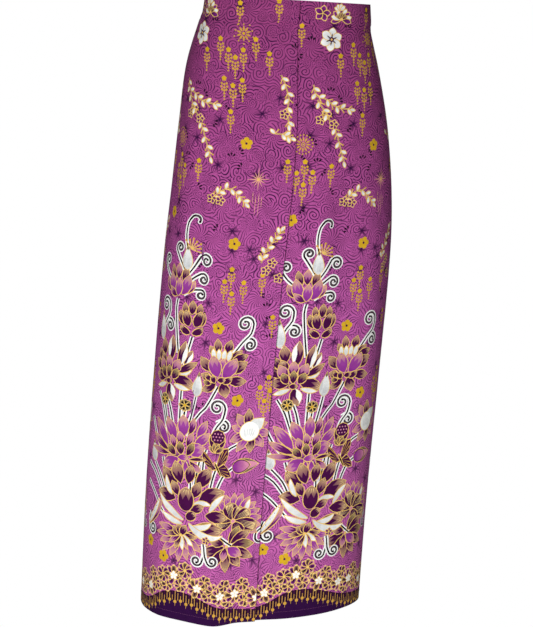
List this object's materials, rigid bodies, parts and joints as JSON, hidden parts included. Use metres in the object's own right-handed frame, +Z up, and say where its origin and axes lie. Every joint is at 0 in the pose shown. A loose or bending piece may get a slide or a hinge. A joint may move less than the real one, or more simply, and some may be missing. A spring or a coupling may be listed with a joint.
{
  "type": "batik sarong",
  "caption": "Ankle-length batik wrap sarong, hollow as worn: lapped front panels, a back panel and a stitched waistband.",
  "frame": {"origin": "centre of the waist opening, level with the top edge", "axes": "+Z up along the body, -Y out of the front, +X towards the viewer's right of the front"},
  "size_m": [0.3784, 0.274, 1.004],
  "materials": {
    "printed_cotton": "matt woven cotton with a wax-resist print in magenta, plum, ochre gold, white and black",
    "waistband_cotton": "the same printed cotton, turned double and machine stitched"
  },
  "bodies": {
    "root": {"front_over_panel": "printed_cotton", "front_under_panel": "printed_cotton", "back_panel": "printed_cotton", "waistband_over": "waistband_cotton", "waistband_under": "waistband_cotton", "waistband_back": "waistband_cotton"}
  },
  "joints": []
}
